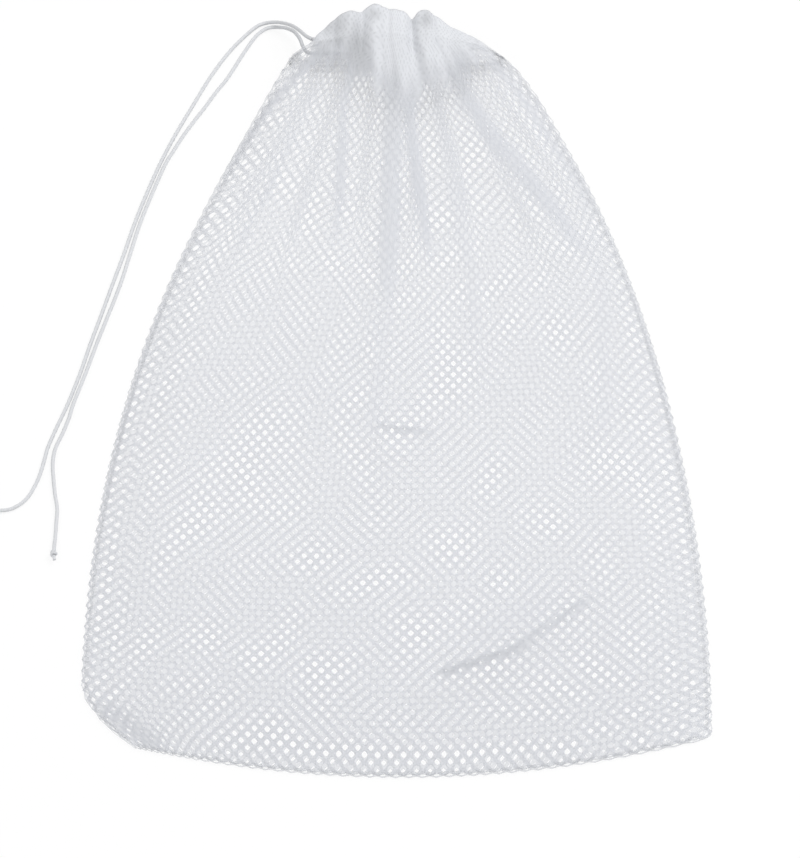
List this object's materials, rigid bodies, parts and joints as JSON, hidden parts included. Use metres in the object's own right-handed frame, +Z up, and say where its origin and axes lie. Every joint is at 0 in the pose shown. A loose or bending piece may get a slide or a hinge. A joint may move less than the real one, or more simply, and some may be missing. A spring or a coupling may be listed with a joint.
{
  "type": "mesh produce bag",
  "caption": "Soft net produce bag lying flat with its neck drawn up by a drawstring, whose knotted tails slide out of the gathered hem's channel.",
  "frame": {"origin": "on the table, under the middle of the lying bag's outline, without its free cord tails", "axes": "+X to the bag's right side, +Y from the bottom seam to the mouth, +Z up from the table"},
  "size_m": [0.4676, 0.5969, 0.0313],
  "materials": {
    "mesh_cloth": "matte white knitted net",
    "seam_cloth": "matte white net in several layers",
    "thread": "matte white sewing thread",
    "cord": "matte white braided cord"
  },
  "bodies": {
    "bag": {"front_panel": "mesh_cloth", "back_panel": "mesh_cloth", "left_side_seam": "seam_cloth", "right_side_seam": "seam_cloth", "bottom_seam": "seam_cloth", "left_seam_thread": "thread", "right_seam_thread": "thread", "bottom_seam_thread": "thread", "front_hem_casing": "seam_cloth", "back_hem_casing": "seam_cloth", "front_hem_stitching": "thread", "back_hem_stitching": "thread", "drawstring_loop": "cord"},
    "drawstring": {"front_drawstring_run": "cord", "back_drawstring_run": "cord", "front_drawstring_tail": "cord", "back_drawstring_tail": "cord", "front_tail_knot": "cord", "back_tail_knot": "cord"}
  },
  "joints": [
    {"name": "drawstring_pull", "type": "slide", "parent": "bag", "child": "drawstring", "axis": [-1, 0, 0], "range_m": [0, 0.045]}
  ]
}
